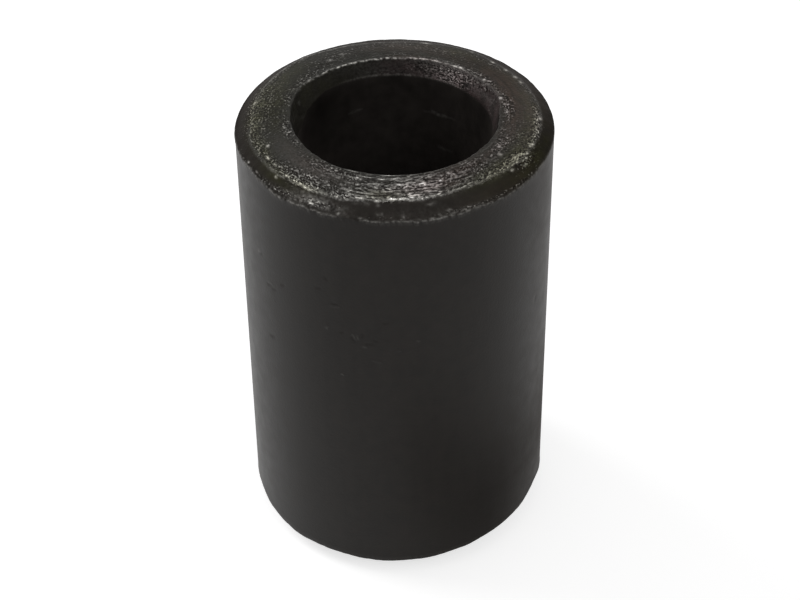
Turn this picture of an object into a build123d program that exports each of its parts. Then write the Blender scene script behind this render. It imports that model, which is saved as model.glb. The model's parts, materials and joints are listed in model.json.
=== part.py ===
from build123d import *
import os

# Spacer sleeve: a short thick-walled steel tube, turned from bar as one piece.
# A bolt or pin runs through the bore, and the two flat end faces hold what it clamps apart.
# Both ends are alike. The axis is Z, the origin is the centre of the lower end face,
# +Z runs along the axis to the upper end, and all lengths are in millimetres.

# Body
bore_diameter = 16.0
wall_thickness = 5.0
length = 40.0

# Lead-in at each end of the bore: a steep cone that guides the bolt in
lead_in_width = 0.5
lead_in_depth = 1.6
lead_in_root_radius = 1.0
mouth_edge_radius = 0.2

# Edge break round the outside of each end: wide across the end and low along the side.
# The end face rolls over into it on a large radius, and it meets the side on a small one.
edge_break_width = 1.95
edge_break_height = 1.2
face_rollover_radius = 1.8
side_edge_radius = 0.25

bore_radius = bore_diameter / 2
mouth_radius = bore_radius + lead_in_width
outer_radius = bore_radius + wall_thickness
face_edge_radius = outer_radius - edge_break_width
half_length = length / 2

# Corners of the wall's section at the upper end, from the bore outwards, each as its distance
# from the axis and its height above mid-length. The lower end is their mirror image.
upper_corners = [
    (bore_radius, half_length - lead_in_depth),
    (mouth_radius, half_length),
    (face_edge_radius, half_length),
    (outer_radius, half_length - edge_break_height),
]
lower_corners = [(radius, -height) for radius, height in reversed(upper_corners)]
corner_radii = [
    lead_in_root_radius,
    mouth_edge_radius,
    face_rollover_radius,
    side_edge_radius,
]

section_plane = Plane(origin=(0, 0, half_length), x_dir=(1, 0, 0), z_dir=(0, -1, 0))

with BuildPart() as sleeve:
    with BuildSketch(section_plane):
        with BuildLine():
            FilletPolyline(
                *upper_corners,
                *lower_corners,
                radius=corner_radii + corner_radii[::-1],
                close=True,
            )
        make_face()
    revolve(axis=Axis.Z)

sleeve.part.label = "sleeve"

os.makedirs("parts", exist_ok=True)
export_step(sleeve.part, "parts/sleeve.step")
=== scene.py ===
import json
import math

import bpy
import numpy as np
from mathutils import Matrix, Vector, noise


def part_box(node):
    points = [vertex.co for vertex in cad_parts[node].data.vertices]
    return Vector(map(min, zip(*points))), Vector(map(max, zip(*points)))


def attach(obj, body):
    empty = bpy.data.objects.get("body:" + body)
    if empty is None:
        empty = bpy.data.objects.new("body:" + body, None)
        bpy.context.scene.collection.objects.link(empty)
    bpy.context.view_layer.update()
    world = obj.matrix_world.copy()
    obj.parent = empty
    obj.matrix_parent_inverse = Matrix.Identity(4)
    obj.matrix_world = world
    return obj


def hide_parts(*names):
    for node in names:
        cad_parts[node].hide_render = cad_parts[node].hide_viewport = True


# A blackened steel spacer sleeve on a white floor: its worn, turned surfaces, the light and the
# camera. Lengths are in millimetres until MM turns them into metres. Angles go round the sleeve's
# axis in degrees, from the front (-Y) towards the right (+X). Heights at an end are counted from
# its flat face, and are negative into the sleeve. A place across an end is its radius less its
# height: it falls from about 9.6 at the root of the lead-in to 8.2 to 8.9 at the bore's mouth, and
# then grows outwards, over the face and the ring at its edge to the foot of the edge break at 14.2.

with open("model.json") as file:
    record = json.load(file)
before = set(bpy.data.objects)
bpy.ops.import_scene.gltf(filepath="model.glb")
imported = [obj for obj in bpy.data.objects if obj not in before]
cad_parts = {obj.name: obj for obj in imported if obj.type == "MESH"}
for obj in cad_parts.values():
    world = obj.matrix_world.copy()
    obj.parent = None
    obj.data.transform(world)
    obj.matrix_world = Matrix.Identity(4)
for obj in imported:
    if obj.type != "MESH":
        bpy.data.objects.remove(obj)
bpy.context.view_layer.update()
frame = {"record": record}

MM = 0.001
TURN = 360.0
NODE = "sleeve"

low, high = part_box(NODE)
mounts = {mount["name"]: mount for mount in frame["record"]["mounts"]}
OUTER_RADIUS = max(high.x, high.y) / MM
LENGTH = (high.z - low.z) / MM
BORE_RADIUS = mounts["bore"]["dims"]["r_mm"]

# Section of an end, from the bore outwards
CROWN_WIDTH = 1.7             # outer part of the face, which falls away to the ring at its edge
CROWN_DROP = 0.28
END_ZONE = 3.6                # the part of the side and the bore that belongs to an end's rows
ROOT_CUT = 0.15               # how far each corner is rounded, to each side of it
MOUTH_CUT = 0.10
CROWN_CUT = 0.60
RING_CUT = 0.22
SIDE_CUT = 0.12

# Edges dressed by hand, so they wander round the sleeve: (angle, value)
MOUTH_RADIUS = (
    (0, 8.38), (12, 8.40), (31, 8.44), (44, 8.50), (54, 8.44), (63, 8.51), (73, 8.56), (84, 8.51),
    (92, 8.57), (101, 8.78), (108, 8.87), (117, 8.77), (132, 8.55), (158, 8.38), (184, 8.20),
    (207, 8.26), (227, 8.48), (241, 8.66), (262, 8.53), (290, 8.38), (314, 8.40), (330, 8.48),
    (341, 8.34),
)
ROOT_DEPTH = (
    (0, 1.6), (180, 1.6), (226, 1.5), (236, 1.8), (244, 1.97), (249, 2.3), (254, 2.8), (264, 2.9),
    (280, 2.5), (310, 1.8), (340, 1.6),
)
RING_RADIUS = (
    (-2, 11.22), (10, 11.29), (25, 11.16), (41, 11.26), (52, 11.50), (64, 11.78), (88, 11.88),
    (113, 11.72), (133, 11.45), (144, 11.58), (165, 11.24), (182, 11.12), (203, 11.34),
    (222, 11.70), (245, 11.66), (270, 11.52), (282, 11.93), (290, 12.02), (304, 12.00),
    (321, 11.75), (339, 11.82), (347, 11.57), (353, 11.34),
)
BREAK_HEIGHT = (
    (0, 1.11), (8, 1.24), (23, 1.13), (27, 0.99), (35, 1.16), (49, 1.27), (62, 1.12), (90, 1.20),
    (180, 1.20), (260, 1.30), (290, 0.95), (300, 0.86), (306, 1.03), (315, 1.38), (322, 1.26),
    (330, 1.16), (341, 1.22), (350, 1.16),
)
FOOT_BREAK_HEIGHT = (
    (-95, 1.3), (-74, 1.95), (-62, 1.50), (-44, 1.26), (-30, 1.40), (-8, 1.34), (8, 1.48),
    (24, 1.74), (40, 2.06), (54, 2.25), (70, 2.78), (82, 2.20), (95, 1.3), (180, 1.2),
)
BURR = (
    (0, 0.045), (40, 0.04), (80, 0.03), (180, 0.03), (240, 0.06), (266, 0.11), (290, 0.09),
    (325, 0.06), (336, 0.02), (344, 0.0), (350, 0.03),
)

# Their fine wander: amount, sizes of its coarse and fine bumps, share of the fine ones, and seed
RING_WANDER = (0.07, 0.90, 0.45, 0.6, 11)
MOUTH_WANDER = (0.05, 0.70, 0.35, 1.0, 13)
BREAK_WANDER = (0.13, 1.10, 0.50, 0.8, 15)

# How ragged the dressed edges are: the front is the worst
RAGGED = ((0, 1.0), (50, 0.9), (80, 0.35), (180, 0.25), (265, 0.25), (300, 0.8))
FOOT_TURN = 150.0             # the lower end has the upper one's wander, turned by this

# Marks of the facing tool: a spiral of fine ridges that the front of the face has kept best
RIDGE_PITCH = 0.37
RIDGE_HEIGHT = (
    (0, 0.028), (18, 0.027), (32, 0.016), (46, 0.008), (75, 0.004), (140, 0.003), (180, 0.006),
    (215, 0.005), (240, 0.003), (310, 0.003), (330, 0.013), (345, 0.026),
)
RIDGE_WORN = 0.004            # below this height the ridges have no painted highlight on their crests and no painted shade in their valleys
RIDGE_KEPT_SPAN = 0.022       # and this much higher they have them in full
RIDGE_VALLEY = -0.4           # the ridges' wave is cut off here, for flat valleys
RIDGE_DATUM = 0.8             # how deep they are sunk into the face, in heights of a ridge
RIDGE_DRIFT = 0.22            # how far they stray, in pitches

# Dents where blows have smeared the metal, raised where their depth is negative:
# (angle, place, angle spread, spread across, depth)
DENTS = (
    (-19.0, 13.5, 3.6, 0.55, 0.17), (-27.5, 12.9, 2.5, 0.30, 0.07), (2.7, 13.5, 0.5, 0.35, -0.08),
    (-6.5, 12.25, 0.8, 0.2, -0.04), (38.0, 13.2, 2.2, 0.35, 0.06), (-60.0, 13.9, 3.0, 0.30, 0.06),
    (-24.9, 13.1, 0.5, 0.3, 0.05), (-22.4, 13.6, 0.8, 0.2, 0.06),
)

# Bumps of the surfaces: size, seed and, if they are drawn out along the turning, turn radius
DRIFT_BUMPS = (1.2, 22)
GAP_BUMPS = (0.8, 23, 4.0)
CREST_BUMPS = (0.30, 21, 3.0)
FACE_BUMPS = (0.32, 2)
BURR_BUMPS = (0.6, 3)
BREAK_BUMPS = (0.7, 4)
SPECKLE_BUMPS = (0.24, 31)
FACE_BUMP_HEIGHT = 0.010
BREAK_BUMP_HEIGHT = 0.02
LIP_START = 0.30              # the burr thickens the metal from this far below its edge
LIP_TOP = -0.35               # ... up to this height
LIP_SHARE = 0.6               # of the burr's own height

SPECKLE_MIDDLE = 0.5
SPECKLE_GAIN = 1.4
SEED_OFFSET = 97.0            # how far apart the noise of two seeds lies

# How noises and waves turn into shares: middle, gain, and lowest and highest value
RIDGES_LEFT = (0.70, 1.2, 0.0, 1.4)
BURR_LEFT = (0.75, 1.3, 0.0, 2.0)
# painted highlight on the ridges' crests, laid on as bare metal
CREST_HIGHLIGHT_WAVE = (-0.56, 1.6, 0.0, 1.0)
CREST_GAPS = (0.35, 1.7, 0.0, 1.0)
# painted shade in the ridges' valleys
VALLEY_SHADE_WAVE = (-0.20, -1.5, 0.0, 1.0)
RUBBED_SPECKLE = (0.50, 1.0, 0.2, 1.6)
# how bright the painted highlight on the crests is
CREST_HIGHLIGHT = 0.85
# how dark the painted shade in the valleys is
VALLEY_SHADE = 0.7

# Zones of an end that masks are painted in: their soft edges and limits
MOUTH_BLEND = 0.10
EDGE_BLEND = 0.10
FACE_BLEND = 0.15
BREAK_BLEND = 0.20
LIP_BLEND = 0.35
FACE_BOTTOM = -0.8            # nothing deeper than this is taken for the face
RING_MARGIN = 0.1             # from the ring to the edge break's zone
RING_LINE_INSET = 0.03        # the worn lines lie this far off the section's corners
ROOT_LINE_RISE = 0.08
LEAST_RIDGED = 0.05           # how ridged the face is where its ridges are gone
SIDE_DEPTH = 0.1              # how far in the side reaches, and how far out the bore
BORE_DEPTH = 0.03
BORE_INSET = 1.0              # how far from the ends the bore's own finish stops

# Mesh
ANGLE_STEPS = 432
FRONT_CROWDING = 0.30         # how much closer the steps are at the front than on average
UPPER_STEPS = ((3, 14, 16, 10, 16, 7), (3, 4, 8, 6, 5))   # along an end's runs and its corners
LOWER_STEPS = ((2, 7, 7, 5, 8, 4), (2, 3, 4, 4, 3))
SIDE_ROW_GAP = 3.2
BORE_ROW_GAP = 3.6

turns = np.arange(ANGLE_STEPS) * TURN / ANGLE_STEPS
angles = turns - np.degrees(FRONT_CROWDING * np.sin(np.radians(turns)))

# Wear, tints, painted light and painted shade, as soft spots: (angle, place, angle spread, spread
# across, amount).
# First where the black has worn to bare metal, in flecks
FACE_FLECKS = (
    (-40, 9.2, 13, 0.7, 0.45), (-26, 9.0, 12, 0.7, 0.32), (-36, 10.8, 15, 0.6, 0.52),
    (-10, 10.0, 13, 1.0, 0.44), (13, 9.8, 13, 1.3, 0.72), (6, 10.95, 18, 0.5, 0.45),
    (0, 9.9, 10, 0.5, 0.30), (5, 8.8, 16, 0.3, 0.22), (75, 8.9, 8, 0.4, 0.30),
    (180, 8.8, 14, 0.3, 0.20), (40, 9.1, 13, 0.7, 0.34), (40, 10.4, 14, 0.8, 0.42),
    (95, 9.25, 12, 0.6, 0.60), (62, 9.5, 9, 0.6, 0.50), (122, 9.0, 16, 0.4, 0.55),
    (150, 8.6, 16, 0.25, 0.50), (134, 11.1, 14, 0.4, 0.26), (165, 10.4, 16, 0.9, 0.24),
    (190, 10.8, 16, 0.6, 0.24), (212, 10.0, 16, 1.0, 0.34), (230, 9.0, 14, 0.5, 0.35),
    (252, 9.0, 14, 0.5, 0.40), (282, 8.9, 10, 0.5, 0.62), (268, 10.3, 16, 0.9, 0.30),
    (287, 10.8, 10, 0.6, 0.14), (297, 8.7, 8, 0.4, 0.35), (250, 10.6, 12, 0.9, 0.25),
    (150, 10.0, 14, 1.0, 0.14), (73, 10.6, 14, 0.8, 0.28),
)
RING_FLECKS = (
    (268, 11.9, 20, 0.85, 0.55), (294, 11.8, 12, 0.55, 0.38), (240, 11.8, 12, 0.35, 0.46),
    (218, 11.8, 12, 0.30, 0.50), (314, 11.7, 11, 0.75, 0.58), (324, 11.9, 8, 0.45, 0.58),
    (336, 11.8, 9, 0.40, 0.48), (350, 11.6, 12, 0.35, 0.52), (7, 11.5, 19, 0.28, 0.90),
    (46, 11.5, 8, 0.40, 0.35), (38, 11.4, 10, 0.40, 0.52), (56, 11.6, 8, 0.60, 0.75),
    (74, 11.9, 12, 0.50, 0.54), (88, 11.8, 12, 0.55, 0.56), (110, 12.0, 8, 0.40, 0.40),
    (126, 11.7, 14, 0.35, 0.22), (150, 11.7, 12, 0.30, 0.20), (180, 11.4, 14, 0.25, 0.40),
    (203, 11.6, 10, 0.25, 0.35),
)
BREAK_FLECKS = (
    (331, 13.3, 8, 0.45, 0.65), (317, 13.6, 6, 0.40, 0.45), (302, 13.9, 14, 0.40, 0.45),
    (27, 13.75, 10, 0.25, 0.60), (50, 13.9, 14, 0.35, 0.40), (0, 13.8, 16, 0.40, 0.22),
    (250, 12.6, 26, 0.50, 0.20), (60, 12.7, 8, 0.6, 0.50),
)
# the dense flecks round 145 degrees are in part painted light, where light falls on the lead-in's
# back right
LEAD_IN_FLECKS = (
    (145, 9.15, 14, 0.9, 0.90), (165, 8.7, 12, 0.6, 0.35), (112, 9.0, 20, 0.9, 0.20),
    (185, 9.5, 20, 0.5, 0.25), (262, 9.2, 14, 0.3, 0.15), (70, 9.0, 20, 0.8, 0.15),
    (124, 8.90, 13, 0.20, 0.38),
)
EVEN_FLECKS = 0.08            # all over the face

# Olive and brown tints of the oxide
GOLD = (
    (268, 11.6, 26, 0.85, 1.0), (300, 11.9, 14, 0.6, 0.5), (322, 12.0, 10, 0.5, 0.6),
    (355, 11.0, 8, 0.6, 0.6), (82, 11.2, 34, 0.8, 1.0), (48, 11.4, 20, 0.9, 0.7),
    (150, 10.6, 24, 0.8, 0.5), (238, 10.6, 16, 0.8, 0.4), (62, 13.2, 26, 0.8, 0.5),
    (312, 12.9, 10, 0.6, 0.45), (262, 9.8, 20, 1.0, 0.5), (62, 13.0, 10, 0.8, 0.3),
)
LEAD_IN_GOLD = ((235, 9.0, 36, 2.0, 0.28),)
BROWN = (
    (165, 8.4, 16, 0.3, 0.8), (112, 9.9, 30, 1.5, 0.9), (30, 9.3, 20, 1.0, 0.6),
    (70, 9.5, 24, 0.8, 0.6), (170, 10.2, 20, 1.0, 0.7), (14, 10.4, 14, 0.8, 0.9),
    (315, 9.8, 20, 1.0, 0.5), (84, 11.3, 28, 0.9, 0.35), (45, 13.2, 20, 0.9, 0.25),
    (95, 13.2, 24, 0.9, 0.15),
)
# on the lead-in a pink-brown tint, painted lighter where light falls on its back right
LEAD_IN_BROWN_AND_LIGHT = ((142, 9.25, 18, 0.8, 1.0), (176, 9.0, 14, 1.2, 0.40), (104, 9.0, 22, 1.2, 0.30))

# Areas rubbed a little lighter
RUBBED = (
    (331, 13.3, 7, 0.45, 0.14), (322, 13.5, 7, 0.40, 0.09), (300, 9.9, 10, 0.9, 0.022),
    (341, 13.6, 3.0, 0.8, 0.045), (-11.2, 12.02, 1.7, 0.28, 0.10), (13.5, 12.32, 1.9, 0.20, 0.10),
    (-6.5, 12.22, 0.8, 0.20, 0.09), (-15.2, 12.33, 1.0, 0.12, 0.07), (-6.2, 13.23, 0.6, 0.16, 0.10),
    (-4.8, 13.21, 0.4, 0.20, 0.08), (19.3, 13.43, 0.8, 0.12, 0.22), (15.6, 13.75, 0.35, 0.22, 0.18),
    (27, 13.75, 9, 0.24, 0.05), (33, 11.3, 13, 0.45, 0.030), (2.7, 13.5, 0.40, 0.35, 0.16),
    (7.7, 13.95, 1.4, 0.14, 0.13), (12.6, 14.0, 0.9, 0.12, 0.16), (20, 13.86, 1.2, 0.16, 0.14),
    (25, 13.85, 1.4, 0.18, 0.10), (30.5, 13.88, 1.6, 0.16, 0.12), (-12.3, 13.9, 1.2, 0.12, 0.12),
    (147, 8.6, 16, 0.3, 0.06), (9, 13.2, 16, 0.7, 0.012), (5, 10.0, 26, 1.4, 0.020),
    (330, 10.2, 16, 1.2, 0.012), (2, 10.9, 14, 0.5, 0.070), (17, 11.1, 9, 0.6, 0.075),
    (358, 11.4, 12, 0.35, 0.09), (46, 11.6, 7, 0.4, 0.07), (318, 10.3, 12, 0.7, 0.045),
    (328, 12.7, 8, 0.35, 0.09), (316, 13.7, 14, 0.3, 0.03), (15, 9.0, 8, 0.6, 0.03),
    (84, 11.8, 18, 0.5, 0.020),
)
LEAD_IN_RUBBED = (
    (180, 9.0, 30, 2.0, 0.030), (250, 9.0, 34, 2.0, 0.009), (144, 9.2, 14, 0.6, 0.085),
    (129, 9.35, 9, 0.22, 0.025), (138, 8.6, 24, 0.3, 0.15), (200, 8.6, 24, 0.3, 0.040),
    (265, 8.6, 26, 0.3, 0.038), (151, 9.2, 10, 0.5, 0.09), (195, 9.2, 12, 0.4, 0.035),
    (-96, 9.32, 7, 0.10, 0.035), (-101, 9.65, 7, 0.10, 0.035), (-107, 10.2, 6, 0.12, 0.045),
    (-110.8, 9.29, 1.3, 0.12, 0.14), (136, 9.12, 5, 0.10, 0.06), (127, 9.11, 5, 0.10, 0.06),
    (118, 9.19, 5, 0.10, 0.06), (110, 9.25, 4, 0.10, 0.05), (179, 9.23, 10, 0.06, 0.055),
    (192, 9.20, 6, 0.06, 0.04),
)

# Where the black lies thickest
BREAK_SOOT = (
    (80, 13.2, 32, 2.0, 0.9), (195, 12.3, 36, 0.6, 0.7), (245, 12.0, 18, 0.35, 0.4),
    (270, 13.2, 50, 2.0, 0.3), (272, 14.3, 34, 0.45, 0.8), (-62, 13.9, 3.0, 0.3, 0.8),
    (-57, 14.1, 2.0, 0.3, 0.8), (-65.5, 13.8, 1.4, 0.2, 0.8), (140, 13.2, 30, 2.0, 0.6),
    (215, 13.2, 30, 2.0, 0.5), (180, 14.1, 60, 0.5, 1.0), (-32.1, 13.8, 2.4, 0.10, 0.9),
    (-24.9, 13.1, 0.5, 0.25, 0.7), (-22.4, 13.6, 0.8, 0.2, 0.7),
)
FACE_SOOT = (
    (338, 9.0, 16, 0.6, 0.30), (32, 9.4, 10, 0.4, 0.55), (125, 10.4, 24, 1.2, 0.46),
    (36, 10.0, 16, 1.2, 0.28), (92, 9.8, 20, 1.0, 0.22), (94, 9.3, 10, 0.5, 0.25),
    (185, 10.2, 50, 2.0, 0.28), (235, 10.6, 20, 1.5, 0.12), (268, 10.2, 16, 1.2, 0.45),
    (294, 11.7, 9, 0.6, 0.22), (80, 11.9, 16, 0.5, 0.20),
)
LEAD_IN_SOOT = (
    (121, 8.96, 14, 0.20, 0.75), (143, 8.75, 9, 0.12, 0.5), (160, 9.05, 1.2, 0.2, 0.6),
    (115, 9.58, 17, 0.12, 1.0), (132, 9.52, 9, 0.13, 0.95), (127, 9.40, 10, 0.12, 0.25),
    (174, 9.38, 8, 0.06, 0.9), (163, 9.15, 3, 0.30, 0.4),
)
# Painted shade on the walls, by height above the floor instead of place: the upper back of the bore
# darker, and the side darker on its front right and right, most of all low down
BORE_SHADE = ((232, 37.2, 26, 3.2, 0.78), (108, 37.4, 26, 3.6, 0.70), (172, 37.8, 34, 2.4, 0.45))
SIDE_SHADE = (
    (40, 7.0, 24, 10.0, 0.52), (12, 13.5, 16, 9.0, 0.26), (30, 3.0, 22, 7.0, 0.12),
    (70, 22.0, 14, 18.0, 0.14), (66, 8.0, 12, 5.0, 0.22), (79, 10.0, 9, 8.0, 0.45),
    (68, 36.0, 18, 6.0, 0.16),
)

# Single bright spots on the upper end
CHIPS = (
    (-6.7, 9.00, 2.0, 0.08, 1.0), (0.4, 8.95, 2.8, 0.08, 1.2), (7.0, 9.03, 1.8, 0.08, 0.9),
    (-8.5, 9.81, 1.8, 0.08, 0.7), (2.2, 9.68, 2.4, 0.09, 1.3), (12.5, 9.80, 2.4, 0.12, 1.4),
    (18.4, 10.40, 0.8, 0.12, 0.9), (21.2, 9.80, 0.8, 0.14, 1.5), (1.2, 10.76, 0.9, 0.11, 0.9),
    (13.4, 10.79, 1.6, 0.08, 0.9), (5.0, 10.35, 2.0, 0.07, 0.7), (-18.6, 9.18, 0.8, 0.13, 1.4),
    (-16.6, 9.29, 0.7, 0.09, 0.8), (-27.4, 9.68, 1.1, 0.10, 0.8), (-19.6, 11.00, 0.7, 0.11, 0.8),
    (28.8, 9.56, 0.5, 0.11, 0.9), (29.4, 9.89, 0.5, 0.11, 0.9), (-7.3, 11.72, 1.0, 0.13, 1.4),
    (-1.9, 11.33, 0.7, 0.13, 1.2), (-0.7, 11.50, 2.6, 0.07, 0.9), (6.7, 11.33, 1.3, 0.11, 1.4),
    (12.6, 11.51, 0.8, 0.13, 0.9), (-39.2, 12.00, 0.8, 0.11, 1.0), (-36.5, 12.07, 0.9, 0.12, 1.3),
    (-34.0, 12.14, 0.9, 0.11, 1.3), (-27.5, 12.03, 0.7, 0.11, 0.8), (-22.6, 11.95, 0.9, 0.13, 0.8),
    (-18.8, 12.05, 0.9, 0.11, 0.7), (-31.4, 13.46, 1.3, 0.10, 1.1), (-28.6, 13.08, 0.9, 0.12, 0.5),
    (-20.3, 13.90, 0.6, 0.13, 0.4), (-65.0, 13.55, 0.5, 0.12, 0.6), (-58.2, 13.60, 0.5, 0.10, 0.5),
    (-50.0, 12.68, 0.5, 0.11, 0.9), (-55.0, 11.70, 0.8, 0.12, 0.9), (27.0, 9.25, 0.8, 0.13, 1.0),
    (58.0, 11.40, 0.9, 0.13, 1.2), (60.6, 12.30, 0.7, 0.12, 1.2), (53.2, 11.78, 0.7, 0.12, 0.9),
    (68.0, 11.90, 0.9, 0.13, 0.9), (103.4, 8.95, 1.0, 0.13, 1.4), (60.0, 9.50, 1.0, 0.13, 0.8),
    (133.3, 11.70, 0.9, 0.16, 1.3), (125.1, 11.69, 0.9, 0.14, 0.9), (118.6, 11.69, 0.9, 0.15, 0.9),
    (114.0, 11.72, 1.0, 0.13, 0.8), (144.9, 11.74, 0.8, 0.12, 0.8), (165.9, 11.51, 1.6, 0.14, 0.8),
    (122.4, 8.86, 0.9, 0.13, 1.2), (139.8, 8.63, 1.7, 0.12, 1.2), (143.4, 8.52, 1.4, 0.12, 1.2),
    (155.8, 8.43, 1.9, 0.12, 1.2), (149.0, 8.50, 0.8, 0.10, 0.7), (90.2, 9.12, 0.8, 0.14, 1.1),
    (69.6, 12.02, 1.0, 0.13, 1.0), (63.1, 12.01, 0.8, 0.13, 1.3), (87.5, 12.05, 1.0, 0.20, 1.1),
    (60.1, 11.54, 0.8, 0.13, 1.3), (56.0, 11.89, 0.8, 0.14, 1.0), (51.4, 12.20, 0.8, 0.13, 0.9),
    (55.4, 10.13, 0.8, 0.13, 1.0), (57.8, 12.73, 0.8, 0.14, 0.7), (-146.1, 9.64, 1.0, 0.13, 0.8),
    (-154.0, 10.05, 0.9, 0.12, 0.8), (-101.0, 11.97, 0.9, 0.16, 1.2),
    (-67.5, 11.03, 0.8, 0.13, 1.0), (-60.5, 11.73, 0.9, 0.14, 1.3),
)

# Worn lines: how strongly the metal shines along each, as (angle, value)
RING_SHINE = (
    (356, 0.85), (0, 0.90), (3, 0.70), (5, 0.85), (9, 0.95), (15, 0.60), (24, 0.38), (40, 0.30),
    (60, 0.12), (80, 0.0), (180, 0.0), (205, 0.18), (235, 0.2), (250, 0.0), (296, 0.0), (310, 0.18),
    (320, 0.35), (328, 0.50), (336, 0.38), (344, 0.22), (351, 0.45),
)
MOUTH_SHINE = (
    (0, 0.0), (100, 0.0), (125, 0.22), (138, 0.30), (150, 0.45), (158, 0.75), (168, 1.0),
    (190, 0.7), (215, 0.9), (235, 0.5), (250, 0.0),
)
BURR_SHINE = (
    (0, 0.5), (12, 0.75), (25, 0.60), (40, 0.50), (60, 0.40), (90, 0.15), (180, 0.2), (255, 0.2),
    (275, 0.35), (300, 0.60), (318, 0.80), (330, 0.90), (338, 0.5), (342, 0.0), (347, 0.1),
    (351, 0.7), (356, 0.45),
)
ROOT_SHINE = (
    (0, 0.0), (95, 0.0), (135, 0.05), (148, 0.40), (160, 0.20), (172, 0.32), (190, 0.30),
    (205, 0.12), (222, 0.0),
)
# ... with its width, how speckled it is, and its full strength
WORN_LINES = {
    "ring": (RING_SHINE, 0.14, (-0.10, 1.7, 0.0, 1.3), 1.0),
    "mouth": (MOUTH_SHINE, 0.12, (-0.40, 1.9, 0.0, 1.0), 1.0),
    "burr": (BURR_SHINE, 0.10, (0.25, 0.9, 0.0, 1.0), 0.42),
    "root": (ROOT_SHINE, 0.11, (0.35, 0.6, 0.0, 1.0), 1.0),
}

# Scratches on the side and in the bore, by height above the floor: (angle, height, angle,
# height, width, how far the metal is raised or cut, share of metal bared)
SIDE_SCRATCHES = (
    (-53.7, 28.57, -52.0, 28.75, 0.15, -0.018, 0.0), (-53.0, 28.85, -51.2, 29.0, 0.13, 0.015, 0.02),
    (-50.6, 28.46, -49.2, 28.62, 0.14, -0.014, 0.0),
    (-45.7, 29.55, -44.5, 29.75, 0.16, -0.014, 0.0),
    (-59.2, 31.25, -58.0, 31.42, 0.16, 0.015, 0.07), (-57.6, 31.15, -56.9, 31.3, 0.14, -0.014, 0.0),
    (-29.3, 31.09, -28.1, 31.15, 0.16, -0.012, 0.0),
    (-25.9, 32.44, -25.2, 32.25, 0.16, -0.012, 0.0),
    (-23.6, 29.68, -20.9, 29.76, 0.11, 0.010, 0.025),
    (-23.4, 29.92, -21.6, 29.96, 0.12, -0.018, 0.0),
    (-25.9, 27.20, -25.7, 27.35, 0.13, 0.020, 0.055),
    (-15.9, 27.15, -14.9, 26.70, 0.10, 0.015, 0.04),
    (-14.4, 27.15, -13.9, 26.75, 0.10, 0.015, 0.04),
    (-16.3, 26.85, -15.6, 26.50, 0.12, -0.018, 0.0),
    (-12.1, 26.06, -11.3, 26.02, 0.11, 0.015, 0.04), (-11.0, 26.35, -8.6, 26.40, 0.14, -0.018, 0.0),
    (-20.35, 22.60, -20.15, 22.62, 0.11, 0.015, 0.10),
    (-54.0, 23.0, -52.0, 23.2, 0.20, -0.010, 0.0), (62.2, 25.3, 62.6, 25.5, 0.20, -0.020, 0.0),
    (7.4, 26.75, 7.8, 26.72, 0.12, 0.010, 0.03), (-8.9, 24.60, -5.9, 24.48, 0.10, 0.010, 0.015),
    (0.3, 25.74, 1.1, 25.74, 0.11, 0.010, 0.015), (-12.4, 27.35, -12.2, 27.05, 0.14, -0.012, 0.0),
    (-20.3, 27.10, -19.8, 27.15, 0.16, -0.010, 0.0), (-4.8, 28.65, -3.2, 28.66, 0.14, -0.012, 0.0),
    (-8.3, 26.78, -7.0, 26.70, 0.12, -0.012, 0.0),
)
BORE_SCRATCHES = (
    (-159.0, 35.34, -151.5, 35.20, 0.14, 0.008, 0.07),
    (155.9, 35.13, 152.6, 34.94, 0.18, 0.015, 0.13),
    (153.0, 34.93, 147.0, 35.02, 0.17, 0.012, 0.14),
    (161.5, 35.00, 156.0, 35.08, 0.13, 0.008, 0.05),
    (147.0, 35.02, 141.0, 35.00, 0.13, 0.008, 0.05),
    (152.0, 31.68, 148.0, 31.57, 0.16, 0.012, 0.09),
    (148.0, 31.57, 142.8, 31.62, 0.15, 0.010, 0.06),
)
CUT_SOOT = 0.25               # how black the cut ones are
SCRATCH_REACH = 1.25          # how far a scratch fades out to each side, in widths
SCRATCH_ROW_GAP = 0.15
LEAST_ROW_GAP = 0.7 * SCRATCH_ROW_GAP
WALL_GAP = 0.6                # from an end's rows to a wall's first row


def around(keys, angle):
    """The value at each angle of a line that wanders round the sleeve, eased from key to key."""
    at, value = np.array(sorted((key % TURN, value) for key, value in keys), float).T
    at = np.append(at, at[0] + TURN)
    value = np.append(value, value[0])
    turned = (angle - at[0]) % TURN + at[0]
    key = np.clip(np.searchsorted(at, turned, side="right") - 1, 0, len(at) - 2)
    t = (turned - at[key]) / (at[key + 1] - at[key])
    return value[key] + (value[key + 1] - value[key]) * t * t * (3 - 2 * t)


def rounded_path(corners, cuts, run_steps, corner_steps):
    """Rows of points along a section's corners, each inner corner rounded from its cut on.

    Every corner is a (radius, height) pair of arrays, one value for each angle.
    """
    corners = [np.stack(np.broadcast_arrays(*corner), -1) for corner in corners]
    rows = []
    for index, steps in enumerate(run_steps):
        start, end = corners[index], corners[index + 1]
        way = end - start
        way = way / np.linalg.norm(way, axis=-1, keepdims=True)
        run_start = start + way * (cuts[index - 1] if index else 0)
        last = index == len(run_steps) - 1
        run_end = end - way * (0 if last else cuts[index])
        rows += [run_start + (run_end - run_start) * t for t in np.linspace(0, 1, steps + 1)]
        if not last:
            after = corners[index + 2] - end
            after = after / np.linalg.norm(after, axis=-1, keepdims=True)
            leaves = end + after * cuts[index]
            for t in np.linspace(0, 1, corner_steps[index] + 1)[1:-1]:
                rows.append(run_end * (1 - t) ** 2 + end * 2 * t * (1 - t) + leaves * t * t)
    return np.stack(rows)


def closeness(rows, corner, width):
    """1 at a corner of the section, falling to 0 some widths away from it."""
    gap = rows - np.stack(np.broadcast_arrays(*corner), -1)
    return np.exp(-(gap ** 2).sum(-1) / width ** 2)


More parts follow.
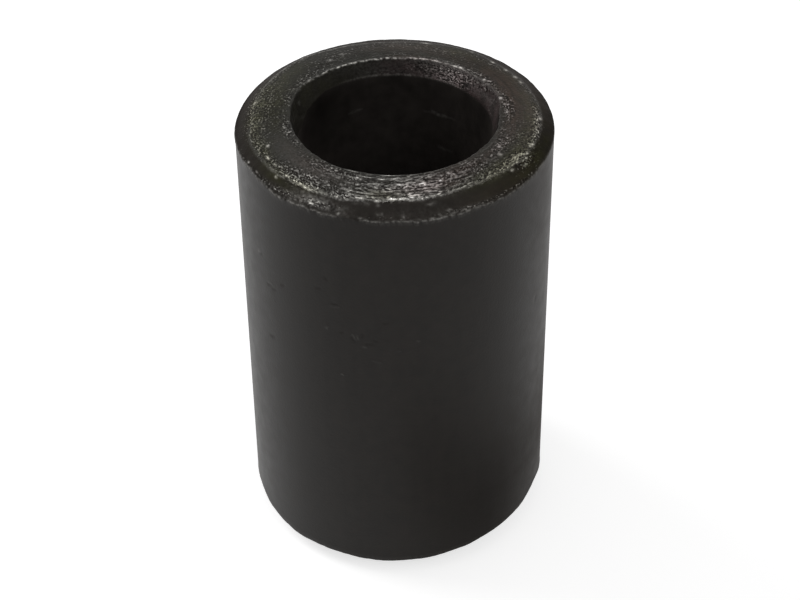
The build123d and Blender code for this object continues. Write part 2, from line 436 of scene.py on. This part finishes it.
def above(value, start, blend):
    """1 above start and 0 below it, with a soft step."""
    return np.clip((value - start) / blend + 0.5, 0, 1)


def below(value, end, blend):
    """1 below end and 0 above it, with a soft step."""
    return np.clip((end - value) / blend + 0.5, 0, 1)


def stretched(value, middle, gain, lowest, highest):
    """A noise's or a wave's value, moved to a middle, stretched, and kept within limits."""
    return np.clip(middle + gain * value, lowest, highest)


def patches(spots, angle, across):
    """The sum of soft spots, each an (angle, place, angle spread, spread across, amount)."""
    total = np.zeros(np.broadcast(angle, across).shape)
    for at, place, angle_spread, spread, amount in spots:
        turned = (angle - at + TURN / 2) % TURN - TURN / 2
        total += amount * np.exp(-(turned / angle_spread) ** 2 - ((across - place) / spread) ** 2)
    return total


def bumps(radius, height, angle, size, seed, turn_radius=None):
    """Smooth noise, about -1 to 1, with bumps of the given size.

    A turn_radius smaller than the real one draws the bumps out along the turning marks.
    """
    turn = np.radians(angle)
    reach = radius if turn_radius is None else turn_radius
    rise = height if turn_radius is None else radius - height
    rise = rise + seed * SEED_OFFSET
    points = np.stack(np.broadcast_arrays(reach * np.sin(turn), -reach * np.cos(turn), rise), -1)
    flat = points.reshape(-1, 3) / size
    return np.array([noise.noise(Vector(p)) for p in flat]).reshape(points.shape[:-1])


def wander(radius, angle, amount, coarse, fine, fine_share, seed):
    """The fine wander of a hand-dressed edge."""
    waves = bumps(radius, 0.0, angle, coarse, seed)
    return amount * (waves + fine_share * bumps(radius, 0.0, angle, fine, seed + 1))


def stroke(angle, height, wall, scratch):
    """1 along a straight scratch on a wall of the given radius, fading over its width."""
    start_angle, start, end_angle, end, width = scratch[:5]
    mm_per_degree = math.radians(1) * wall
    x = ((angle - start_angle + TURN / 2) % TURN - TURN / 2) * mm_per_degree
    along = (end_angle - start_angle) * mm_per_degree
    z, rise = height - start, end - start
    share = np.clip((x * along + z * rise) / (along ** 2 + rise ** 2), 0, 1)
    return np.clip(SCRATCH_REACH - np.hypot(x - share * along, z - share * rise) / width, 0, 1)


def wall_rows(scratches, first, last, spacing):
    """Heights for a wall's rows: close ones across each scratch, and even ones between them."""
    heights = [last]
    for scratch in scratches:
        _, start, _, end, width = scratch[:5]
        bottom = min(start, end) - SCRATCH_REACH * width
        top = max(start, end) + SCRATCH_REACH * width
        steps = math.ceil((top - bottom) / SCRATCH_ROW_GAP)
        heights += list(np.linspace(bottom, top, steps + 1))
    rows = [first]
    for height in sorted(heights):
        gap = height - rows[-1]
        if gap > LEAST_ROW_GAP:
            rows += list(np.linspace(rows[-1], height, math.ceil(gap / spacing) + 1)[1:])
    return np.array(rows)


def scratched_wall(scratches, wall, spacing):
    """A plain wall between the two ends' rows: its radius and height, and its painted masks."""
    first = END_ZONE + WALL_GAP
    heights = wall_rows(scratches, first, LENGTH - first, spacing)
    height = np.broadcast_to(heights[:, None], (len(heights), ANGLE_STEPS))
    angle = np.broadcast_to(angles, height.shape)
    radius = np.full(height.shape, wall)
    masks = {"shine": np.zeros(height.shape), "soot": np.zeros(height.shape)}
    for scratch in scratches:
        *_, lift, bared = scratch
        mark = stroke(angle, height, wall, scratch)
        radius = radius + mark * lift
        masks["shine"] = np.maximum(masks["shine"], mark * bared)
        masks["soot"] = np.maximum(masks["soot"], mark * CUT_SOOT * (lift < 0))
    return radius, height, masks


def end_rows(angle, break_height, is_upper):
    """One end of the sleeve, from the bore outwards: its rows and its painted masks."""
    torn = around(RAGGED, angle)
    root_depth = around(ROOT_DEPTH, angle)
    ring = around(RING_RADIUS, angle) + wander(OUTER_RADIUS, angle, *RING_WANDER) * torn
    mouth = around(MOUTH_RADIUS, angle)
    mouth = mouth + wander(mouth, angle, *MOUTH_WANDER)
    break_height = break_height + wander(OUTER_RADIUS, angle, *BREAK_WANDER) * torn
    corners = (
        (np.full_like(angle, BORE_RADIUS), -END_ZONE),
        (BORE_RADIUS, -root_depth),
        (mouth, 0.0),
        (ring - CROWN_WIDTH, 0.0),
        (ring, -CROWN_DROP),
        (OUTER_RADIUS, -break_height),
        (OUTER_RADIUS, -END_ZONE),
    )
    cuts = (ROOT_CUT, MOUTH_CUT, CROWN_CUT, RING_CUT, SIDE_CUT)
    rows = rounded_path(corners, cuts, *(UPPER_STEPS if is_upper else LOWER_STEPS))
    radius, height = rows[..., 0], rows[..., 1]
    angle = np.broadcast_to(angle, radius.shape)
    place = radius - height

    on_lead_in = below(radius, mouth, MOUTH_BLEND) * above(height, -root_depth, EDGE_BLEND)
    past_mouth = above(radius, mouth, MOUTH_BLEND)
    on_face = above(radius, mouth, FACE_BLEND) * below(radius, ring, FACE_BLEND)
    on_face = on_face * (height > FACE_BOTTOM)
    on_break = above(radius, ring + RING_MARGIN, BREAK_BLEND)
    on_break = on_break * above(height, -break_height, EDGE_BLEND)
    lines = {
        "ring": (ring - RING_LINE_INSET, -CROWN_DROP),
        "mouth": (mouth, 0.0),
        "burr": (OUTER_RADIUS, -break_height),
        "root": (BORE_RADIUS, -root_depth + ROOT_LINE_RISE),
    }
    lines = {name: closeness(rows, corner, WORN_LINES[name][1]) for name, corner in lines.items()}

    crest_bumps = bumps(radius, height, angle, *CREST_BUMPS)
    drift = RIDGE_DRIFT * bumps(radius, height, angle, *DRIFT_BUMPS)
    phase = radius / RIDGE_PITCH + angle / TURN + drift
    ridge = np.clip(np.cos(2 * np.pi * phase), RIDGE_VALLEY, 1)
    ridges_left = stretched(bumps(radius, height, angle, *GAP_BUMPS), *RIDGES_LEFT)
    ridge_height = around(RIDGE_HEIGHT, angle)
    ridges_kept = np.clip((ridge_height - RIDGE_WORN) / RIDGE_KEPT_SPAN, 0, 1)
    rough = FACE_BUMP_HEIGHT * bumps(radius, height, angle, *FACE_BUMPS)
    height = height + on_face * (ridge_height * (ridges_left * ridge - RIDGE_DATUM) + rough)

    burr_left = torn * bumps(OUTER_RADIUS, 0.0, angle, *BURR_BUMPS)
    burr_left = stretched(burr_left, *BURR_LEFT)
    lip = above(height, -break_height - LIP_START, LIP_BLEND) * below(height, LIP_TOP, LIP_BLEND)
    burr = np.where(lip > lines["burr"], lip * LIP_SHARE, lines["burr"])
    radius = radius + around(BURR, angle) * burr * burr_left
    rough = BREAK_BUMP_HEIGHT * bumps(radius, height, angle, *BREAK_BUMPS)
    radius = radius + on_break * torn * rough
    if is_upper:
        radius = radius - patches(DENTS, angle, place)

    speckle = SPECKLE_MIDDLE + SPECKLE_GAIN * bumps(radius, height, angle, *SPECKLE_BUMPS)
    # painted highlight along the crests of the kept ridges, strongest at the front, laid on as bare
    # metal
    lit_crest = stretched(ridge, *CREST_HIGHLIGHT_WAVE) * stretched(crest_bumps, *CREST_GAPS)
    shine = on_face * lit_crest * ridges_kept * CREST_HIGHLIGHT
    for name, (keys, _, speckling, strength) in WORN_LINES.items():
        line = lines[name] * around(keys, angle) * stretched(speckle, *speckling) * strength
        shine = np.maximum(shine, line)
    rubbed = patches(RUBBED, angle, place) * stretched(speckle, *RUBBED_SPECKLE) * past_mouth
    shine = np.maximum(shine, rubbed)
    shine = np.maximum(shine, patches(LEAD_IN_RUBBED, angle, place) * on_lead_in)
    if is_upper:
        shine = np.maximum(shine, patches(CHIPS, angle, place) * past_mouth)

    def painted(*coats):
        """The sum of coats of soft spots, each with the zone that it stays in."""
        return sum(patches(spots, angle, place) * zone for spots, zone in coats)

    flecks = painted((FACE_FLECKS, on_face), (RING_FLECKS, past_mouth), (BREAK_FLECKS, past_mouth),
                     (LEAD_IN_FLECKS, on_lead_in))
    soot = painted((BREAK_SOOT, on_break), (FACE_SOOT, on_face), (LEAD_IN_SOOT, on_lead_in))
    # painted shade in the valleys of the kept ridges, added to the darkening mask
    shaded_valley = stretched(ridge, *VALLEY_SHADE_WAVE) * ridges_kept
    masks = {
        "soot": np.maximum(soot, VALLEY_SHADE * shaded_valley * on_face),
        "ridged": on_face * np.maximum(ridges_kept, LEAST_RIDGED),
        "face": on_face,
        "edge_break": on_break,
        "lead_in": on_lead_in,
        "shine": shine,
        "flecks": flecks + EVEN_FLECKS * on_face,
        "gold": painted((GOLD, past_mouth), (LEAD_IN_GOLD, on_lead_in)),
        "brown": painted((BROWN, past_mouth), (LEAD_IN_BROWN_AND_LIGHT, on_lead_in)),
    }
    return radius, height, masks


def backwards(radius, height, masks):
    """The same rows, the last one first."""
    return radius[::-1], height[::-1], {name: mask[::-1] for name, mask in masks.items()}


def build_rows():
    """The whole closed section at every angle, by height above the floor, with its masks."""
    break_height, foot_height = around(BREAK_HEIGHT, angles), around(FOOT_BREAK_HEIGHT, angles)
    radius, height, upper_masks = end_rows(angles, break_height, True)
    upper = radius, height + LENGTH, upper_masks
    radius, height, lower_masks = end_rows((angles + FOOT_TURN) % TURN, foot_height, False)
    lower = radius, -np.minimum(height, 0), lower_masks
    side = scratched_wall(SIDE_SCRATCHES, OUTER_RADIUS, SIDE_ROW_GAP)
    bore = scratched_wall(BORE_SCRATCHES, BORE_RADIUS, BORE_ROW_GAP)
    parts = upper, backwards(*side), backwards(*lower), bore
    radius, height = (np.concatenate([part[index] for part in parts]) for index in (0, 1))
    masks = {}
    for name in upper_masks:
        bare = [np.zeros_like(part[0]) for part in parts]
        masks[name] = np.concatenate([part[2].get(name, none) for part, none in zip(parts, bare)])
    outer = radius > OUTER_RADIUS - SIDE_DEPTH
    inner = radius < BORE_RADIUS + BORE_DEPTH
    inner = inner & (height > BORE_INSET) & (height < LENGTH - BORE_INSET)
    # painted shade on the side and in the bore, added to the darkening mask
    masks["soot"] = np.maximum(masks["soot"], patches(SIDE_SHADE, angles, height) * outer)
    masks["soot"] = np.maximum(masks["soot"], patches(BORE_SHADE, angles, height) * inner)
    masks["bore"] = inner.astype(float)
    return radius, height, masks


def sleeve_mesh():
    radius, height, masks = build_rows()
    turn = np.radians(angles)
    points = np.stack([radius * np.sin(turn), -radius * np.cos(turn), height], -1)
    rows, columns = radius.shape
    here = np.arange(rows * columns).reshape(rows, columns)
    down = np.roll(here, -1, axis=0)
    faces = np.stack([here, down, np.roll(down, -1, axis=1), np.roll(here, -1, axis=1)], -1)
    mesh = bpy.data.meshes.new(NODE + "_skin")
    mesh.from_pydata((points.reshape(-1, 3) * MM).tolist(), [], faces.reshape(-1, 4).tolist())
    for name, mask in masks.items():
        paint = mesh.attributes.new(name, "FLOAT", "POINT")
        paint.data.foreach_set("value", np.clip(mask, 0, 1).astype(np.float32).ravel())
    mesh.shade_smooth()
    mesh.validate()
    return mesh


class Nodes:
    """Adds nodes to one shader tree. An input is set to a value, or linked if it is a socket."""

    def __init__(self, owner):
        owner.use_nodes = True
        self.tree = owner.node_tree

    def add(self, kind, inputs=None, **settings):
        node = self.tree.nodes.new("ShaderNode" + kind)
        for name, value in settings.items():
            setattr(node, name, value)
        self.wire(node, inputs or {})
        return node

    def wire(self, node, inputs):
        for key, value in inputs.items():
            if isinstance(value, bpy.types.NodeSocket):
                self.tree.links.new(value, node.inputs[key])
            else:
                node.inputs[key].default_value = value

    def math(self, operation, *values):
        return self.add("Math", dict(enumerate(values)), operation=operation).outputs[0]

    def product(self, *values):
        result = values[0]
        for value in values[1:]:
            result = self.math("MULTIPLY", result, value)
        return result

    def most(self, *values):
        result = values[0]
        for value in values[1:]:
            result = self.math("MAXIMUM", result, value)
        return result

    def vector(self, operation, *values):
        return self.add("VectorMath", dict(enumerate(values)), operation=operation)

    def scaled(self, vector, factor):
        inputs = {0: vector, "Scale": factor}
        return self.add("VectorMath", inputs, operation="SCALE").outputs[0]

    def ramp(self, value, start, end, low=0.0, high=1.0):
        """Low up to start, high from end on, and straight between them."""
        return self.add("MapRange", {0: value, 1: start, 2: end, 3: low, 4: high}).outputs[0]

    def mix(self, share, first, second):
        """A colour between two."""
        inputs = {0: share, 6: first, 7: second}
        return self.add("Mix", inputs, data_type="RGBA").outputs[2]

    def blend(self, share, first, second):
        """A number between two."""
        return self.add("Mix", {0: share, 2: first, 3: second}).outputs[0]

    def paint(self, name):
        return self.add("Attribute", attribute_name=name).outputs["Fac"]

    def clouds(self, place, per_mm, detail):
        """Noise from about 0.2 to 0.8 round 0.5."""
        inputs = {"Vector": place, "Scale": per_mm, "Detail": detail}
        return self.add("TexNoise", inputs).outputs["Fac"]


# Finish, as linear colours, among them painted light and painted shade
SIDE_BLACK = (0.0115, 0.0100, 0.0088, 1)
FACE_BLACK = (0.0105, 0.0102, 0.0070, 1)
BREAK_BLACK = (0.0240, 0.0213, 0.0190, 1)
# painted light: the bore's oxide lighter than the side's, for light that reaches into the bore
BORE_LIT_BLACK = (0.0410, 0.0355, 0.0320, 1)
# black of soot and of painted shade: the thickest oxide, the pits, and the painted shade on the
# walls and in the ridges' valleys
SOOT_AND_SHADE_BLACK = (0.0080, 0.0068, 0.0058, 1)
OLIVE = (0.0260, 0.0266, 0.0105, 1)
RUST = (0.0425, 0.0300, 0.0235, 1)
# the lead-in's pink tint, with painted light: lighter than the rust on the face
ROSE_AND_LIGHT = (0.110, 0.077, 0.077, 1)
BARE = (0.56, 0.545, 0.51, 1)
BARE_GOLD = (0.42, 0.405, 0.31, 1)
BARE_ROSE = (0.59, 0.525, 0.51, 1)
# painted highlight: a brighter metal for the polished spots at the front of the face
PAINTED_GLINT = (0.92, 0.90, 0.87, 1)
SHEEN_TINT = (1.0, 0.965, 0.94, 1)
SHEEN_LEVEL = 0.17

# ... its roughness
SIDE_ROUGH = 0.42
FACE_ROUGH = 0.50
BREAK_ROUGH = 0.72
SOOT_AND_SHADE_ROUGH = 0.85
BARE_ROUGH = 0.34

# ... its noises: how many bumps they have in a millimetre, and their detail
GRAIN = (5.0, 3.0)
MOTTLE = (0.9, 3.0)
CLOUDING = (0.22, 2.0)
MARKS = (3.2, 2.0)
STREAKS = (0.9, 2.0)
FLECK = (4.8, 1.6)
FLECK_FADE = (2.2, 1.0)
MARKS_RADIUS = 2.4            # marks are noise wound on this radius, so they run along the turning
STREAKS_STRETCH = (1.0, 1.0, 0.12)
LEAD_IN_DRAWN = 0.75          # how much of the way the flecks are drawn out like the marks
RIDGES_DRAWN = 0.5
LEAD_IN_FINENESS = 1.2        # by what share the lead-in's flecks are finer

# ... its ramps: where they start and end, and what they give there if it isn't 0 and 1
FADE_RAMP = (0.35, 0.70, 0.20, 1.05)
BARED_RAMP = (0.665, 0.775)
FLECKED_RAMP = (0.0, 0.9)
PIT_RAMP = (0.42, 0.35)
PITTED_RAMP = (0.05, 0.45)
RUBBED_RAMP = (0.36, 0.60, 0.42, 1.2)
POLISHED_RAMP = (0.70, 0.95)
OLIVE_RAMP = (0.3, 0.6, 0.5, 1.0)
RUST_RAMP = (0.35, 0.6, 0.4, 1.0)
SHADE_RAMP = (0.25, 0.75, 0.75, 1.25)
SOFT_SHADE_RAMP = (0.3, 0.7, -0.08, 0.08)
ROUGH_RAMP = (0.25, 0.75, -0.04, 0.04)
BUMP_RAMP = (0.2, 0.8, -0.5, 0.5)

# ... the pull of the flecks' mask on their noise and its pits, and how pits and bare metal meet
FLECK_PULL = 0.22
PIT_PULL = -0.13
PIT_IN_BARE = -0.55
PIT_SOOT = 0.95

# ... and its fine relief, in millimetres
SMOOTH_RELIEF = 0.006
COARSE_RELIEF = 0.020
FLECK_RELIEF = 0.06
MARKS_RELIEF = 0.025
LEAD_IN_MARKS = 0.6           # share of the marks' relief that the lead-in has
BARE_RELIEF = 0.012


def blackened_steel():
    material = bpy.data.materials.new("blackened_steel")
    nodes = Nodes(material)
    shader = nodes.tree.nodes["Principled BSDF"]
    face, edge_break = nodes.paint("face"), nodes.paint("edge_break")
    lead_in, bore = nodes.paint("lead_in"), nodes.paint("bore")
    gold, brown = nodes.paint("gold"), nodes.paint("brown")
    shine, flecks = nodes.paint("shine"), nodes.paint("flecks")
    soot, ridged = nodes.paint("soot"), nodes.paint("ridged")

    place = nodes.scaled(nodes.add("TexCoord").outputs["Object"], 1 / MM)
    axes = nodes.add("SeparateXYZ", {0: place}).outputs
    flat = nodes.add("CombineXYZ", {0: axes[0], 1: axes[1]}).outputs[0]
    radius = nodes.vector("LENGTH", flat).outputs["Value"]
    heading = nodes.vector("NORMALIZE", flat).outputs[0]
    across = nodes.add("CombineXYZ", {2: nodes.math("SUBTRACT", radius, axes[2])}).outputs[0]
    turned = nodes.vector("ADD", nodes.scaled(heading, MARKS_RADIUS), across).outputs[0]
    upright = nodes.vector("MULTIPLY", place, STREAKS_STRETCH).outputs[0]

    grain = nodes.clouds(place, *GRAIN)
    mottle = nodes.clouds(place, *MOTTLE)
    clouding = nodes.clouds(place, *CLOUDING)
    marks = nodes.clouds(turned, *MARKS)
    streaks = nodes.clouds(upright, *STREAKS)

    # Bare metal: flecks with pits between them, rubbed areas, polished spots, and the painted
    # highlight on the ridges' crests
    drawn = nodes.most(nodes.product(lead_in, LEAD_IN_DRAWN), nodes.product(ridged, RIDGES_DRAWN))
    reach = nodes.blend(drawn, radius, MARKS_RADIUS)
    spread = nodes.vector("ADD", nodes.scaled(heading, reach), across).outputs[0]
    flecked = nodes.scaled(spread, nodes.math("MULTIPLY_ADD", lead_in, LEAD_IN_FINENESS, 1.0))
    fleck = nodes.clouds(flecked, *FLECK)
    fade = nodes.ramp(nodes.clouds(flecked, *FLECK_FADE), *FADE_RAMP)
    bared = nodes.ramp(nodes.math("MULTIPLY_ADD", flecks, FLECK_PULL, fleck), *BARED_RAMP)
    spotted = nodes.product(bared, fade, nodes.ramp(flecks, *FLECKED_RAMP))
    pits = nodes.ramp(nodes.math("MULTIPLY_ADD", flecks, PIT_PULL, fleck), *PIT_RAMP)
    pits = nodes.product(pits, nodes.ramp(flecks, *PITTED_RAMP))
    rubbed = nodes.product(shine, nodes.ramp(grain, *RUBBED_RAMP))
    rubbed = nodes.product(rubbed, nodes.math("MULTIPLY_ADD", pits, PIT_IN_BARE, 1.0))
    polished = nodes.ramp(shine, *POLISHED_RAMP)
    bare = nodes.most(spotted, rubbed, polished)
    metal = nodes.mix(gold, nodes.mix(brown, BARE, BARE_ROSE), BARE_GOLD)
    # painted glint: the polished spots at the front of the face brighter still
    metal = nodes.mix(nodes.product(polished, ridged), metal, PAINTED_GLINT)

    # The oxide under it, with painted light and painted shade in some of its colours
    pits = nodes.product(pits, PIT_SOOT)
    oxide = nodes.mix(face, SIDE_BLACK, FACE_BLACK)
    oxide = nodes.mix(edge_break, oxide, BREAK_BLACK)
    # the bore painted lighter, for light inside it
    oxide = nodes.mix(bore, oxide, BORE_LIT_BLACK)
    # darker where the oxide is thickest, and where shade is painted: on the side, in the bore and
    # in the face's ridge valleys
    oxide = nodes.mix(soot, oxide, SOOT_AND_SHADE_BLACK)
    oxide = nodes.mix(nodes.product(gold, nodes.ramp(mottle, *OLIVE_RAMP)), oxide, OLIVE)
    # rust, and on the lead-in a pinker tint painted lighter where light falls on its back right
    rust_and_light = nodes.mix(lead_in, RUST, ROSE_AND_LIGHT)
    oxide = nodes.mix(nodes.product(brown, nodes.ramp(marks, *RUST_RAMP)), oxide, rust_and_light)
    oxide = nodes.mix(pits, oxide, SOOT_AND_SHADE_BLACK)
    shade = nodes.ramp(mottle, *SHADE_RAMP)
    shade = nodes.math("ADD", shade, nodes.ramp(streaks, *SOFT_SHADE_RAMP))
    shade = nodes.math("ADD", shade, nodes.ramp(clouding, *SOFT_SHADE_RAMP))
    oxide = nodes.mix(1.0, oxide, shade)
    oxide.node.blend_type = "MULTIPLY"

    # Roughness
    dull = nodes.blend(face, SIDE_ROUGH, FACE_ROUGH)
    dull = nodes.blend(edge_break, dull, BREAK_ROUGH)
    dull = nodes.blend(soot, dull, SOOT_AND_SHADE_ROUGH)
    dull = nodes.math("ADD", dull, nodes.ramp(mottle, *ROUGH_RAMP))

    # Fine relief
    coarse = nodes.most(face, edge_break, lead_in)
    pitted = nodes.blend(coarse, SMOOTH_RELIEF, COARSE_RELIEF)
    pitted = nodes.math("MULTIPLY_ADD", flecks, FLECK_RELIEF, pitted)
    marked = nodes.most(ridged, nodes.product(lead_in, LEAD_IN_MARKS))
    relief = nodes.product(nodes.ramp(grain, *BUMP_RAMP), pitted)
    relief = nodes.math("MULTIPLY_ADD", nodes.ramp(marks, *BUMP_RAMP),
                        nodes.product(marked, MARKS_RELIEF), relief)
    relief = nodes.math("ADD", relief, nodes.product(bare, BARE_RELIEF))
    bump = nodes.add("Bump", {"Strength": 1.0, "Distance": MM, "Height": relief})

    nodes.wire(shader, {
        "Base Color": nodes.mix(bare, oxide, metal),
        "Metallic": nodes.most(bare, edge_break, soot, pits),
        "Roughness": nodes.blend(bare, dull, BARE_ROUGH),
        "Normal": bump.outputs[0],
        "Specular IOR Level": SHEEN_LEVEL,
        "Specular Tint": SHEEN_TINT,
    })
    return material


def add_sleeve():
    piece = bpy.data.objects.new("sleeve_surface", sleeve_mesh())
    bpy.context.scene.collection.objects.link(piece)
    piece.data.materials.append(blackened_steel())
    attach(piece, "root")
    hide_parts(NODE)


# Camera, as fitted to the photograph
CAMERA_PITCH = 39.57
CAMERA_ROLL = -0.66
CAMERA_DISTANCE = 14.211 * OUTER_RADIUS
CAMERA_AIM = (0.0210 * OUTER_RADIUS, 0.0, 1.5679 * OUTER_RADIUS)
FOCAL_LENGTH_PX = 2124.6
IMAGE_WIDTH_PX = 800
SENSOR_WIDTH = 36.0

# Surroundings, in metres
WHITE = (1, 1, 1, 1)
ROOM_LIGHT = 0.45             # the room's light on the object; it is seen as plain white
FLOOR_REACH = 3.0
FLOOR_GREY = (0.70, 0.70, 0.70, 1)
FLOOR_GLOW = 0.62             # what the floor needs to be seen as white beside its shadow
FLOOR_GLOW_AHEAD = 0.05       # and more of it for the camera alone
LAMP_SIZE = 0.30
LAMPS = (("softbox_left", (-0.35, 0.18, 0.33), 0.95), ("softbox_right", (0.30, -0.30, 0.42), 0.25))


def add_camera():
    pitch, roll = math.radians(CAMERA_PITCH), math.radians(CAMERA_ROLL)
    ahead = Vector((0, math.cos(pitch), -math.sin(pitch)))
    level_right = Vector((1, 0, 0))
    level_up = level_right.cross(ahead)
    right = math.cos(roll) * level_right + math.sin(roll) * level_up
    up = right.cross(ahead)
    camera = bpy.data.objects.new("camera", bpy.data.cameras.new("camera"))
    camera.data.sensor_width = SENSOR_WIDTH
    camera.data.lens = FOCAL_LENGTH_PX * SENSOR_WIDTH / IMAGE_WIDTH_PX
    eye = (Vector(CAMERA_AIM) - ahead * CAMERA_DISTANCE) * MM
    turned = Matrix((right, up, -ahead)).transposed().to_4x4()
    camera.matrix_world = Matrix.Translation(eye) @ turned
    bpy.context.scene.collection.objects.link(camera)
    bpy.context.scene.camera = camera


def seen_directly(nodes):
    """1 on rays that see the surroundings plainly: from the camera, reflected or let through."""
    path = nodes.add("LightPath").outputs
    return nodes.most(path["Is Camera Ray"], path["Is Glossy Ray"], path["Is Transmission Ray"])


def add_world():
    world = bpy.data.worlds.new("studio")
    bpy.context.scene.world = world
    nodes = Nodes(world)
    nodes.tree.nodes.clear()
    room = nodes.add("Background", {"Color": WHITE, "Strength": ROOM_LIGHT})
    white = nodes.add("Background", {"Color": WHITE, "Strength": 1.0})
    shaders = {0: seen_directly(nodes), 1: room.outputs[0], 2: white.outputs[0]}
    mixed = nodes.add("MixShader", shaders)
    nodes.add("OutputWorld", {"Surface": mixed.outputs[0]})


def add_floor():
    near, far = -FLOOR_REACH, FLOOR_REACH
    corners = [(near, near, 0), (far, near, 0), (far, far, 0), (near, far, 0)]
    mesh = bpy.data.meshes.new("floor")
    mesh.from_pydata(corners, [], [(0, 1, 2, 3)])
    floor = bpy.data.objects.new("floor", mesh)
    bpy.context.scene.collection.objects.link(floor)
    material = bpy.data.materials.new("floor")
    nodes = Nodes(material)
    nodes.tree.nodes.clear()
    matte = nodes.add("BsdfDiffuse", {"Color": FLOOR_GREY})
    camera_ray = nodes.add("LightPath").outputs["Is Camera Ray"]
    strength = nodes.product(seen_directly(nodes), FLOOR_GLOW)
    strength = nodes.math("MULTIPLY_ADD", camera_ray, FLOOR_GLOW_AHEAD, strength)
    glow = nodes.add("Emission", {"Color": WHITE, "Strength": strength})
    both = nodes.add("AddShader", {0: matte.outputs[0], 1: glow.outputs[0]})
    nodes.add("OutputMaterial", {"Surface": both.outputs[0]})
    floor.data.materials.append(material)


def add_lamps():
    for name, place, power in LAMPS:
        lamp = bpy.data.lights.new(name, "AREA")
        lamp.shape = "DISK"
        lamp.size = LAMP_SIZE
        lamp.energy = power
        softbox = bpy.data.objects.new(name, lamp)
        softbox.location = place
        aim = Vector((0, 0, LENGTH * MM / 2)) - Vector(place)
        softbox.rotation_euler = aim.to_track_quat("-Z", "Y").to_euler()
        bpy.context.scene.collection.objects.link(softbox)


add_camera()
add_world()
add_floor()
add_lamps()
add_sleeve()
bpy.context.scene.view_settings.view_transform = "Standard"
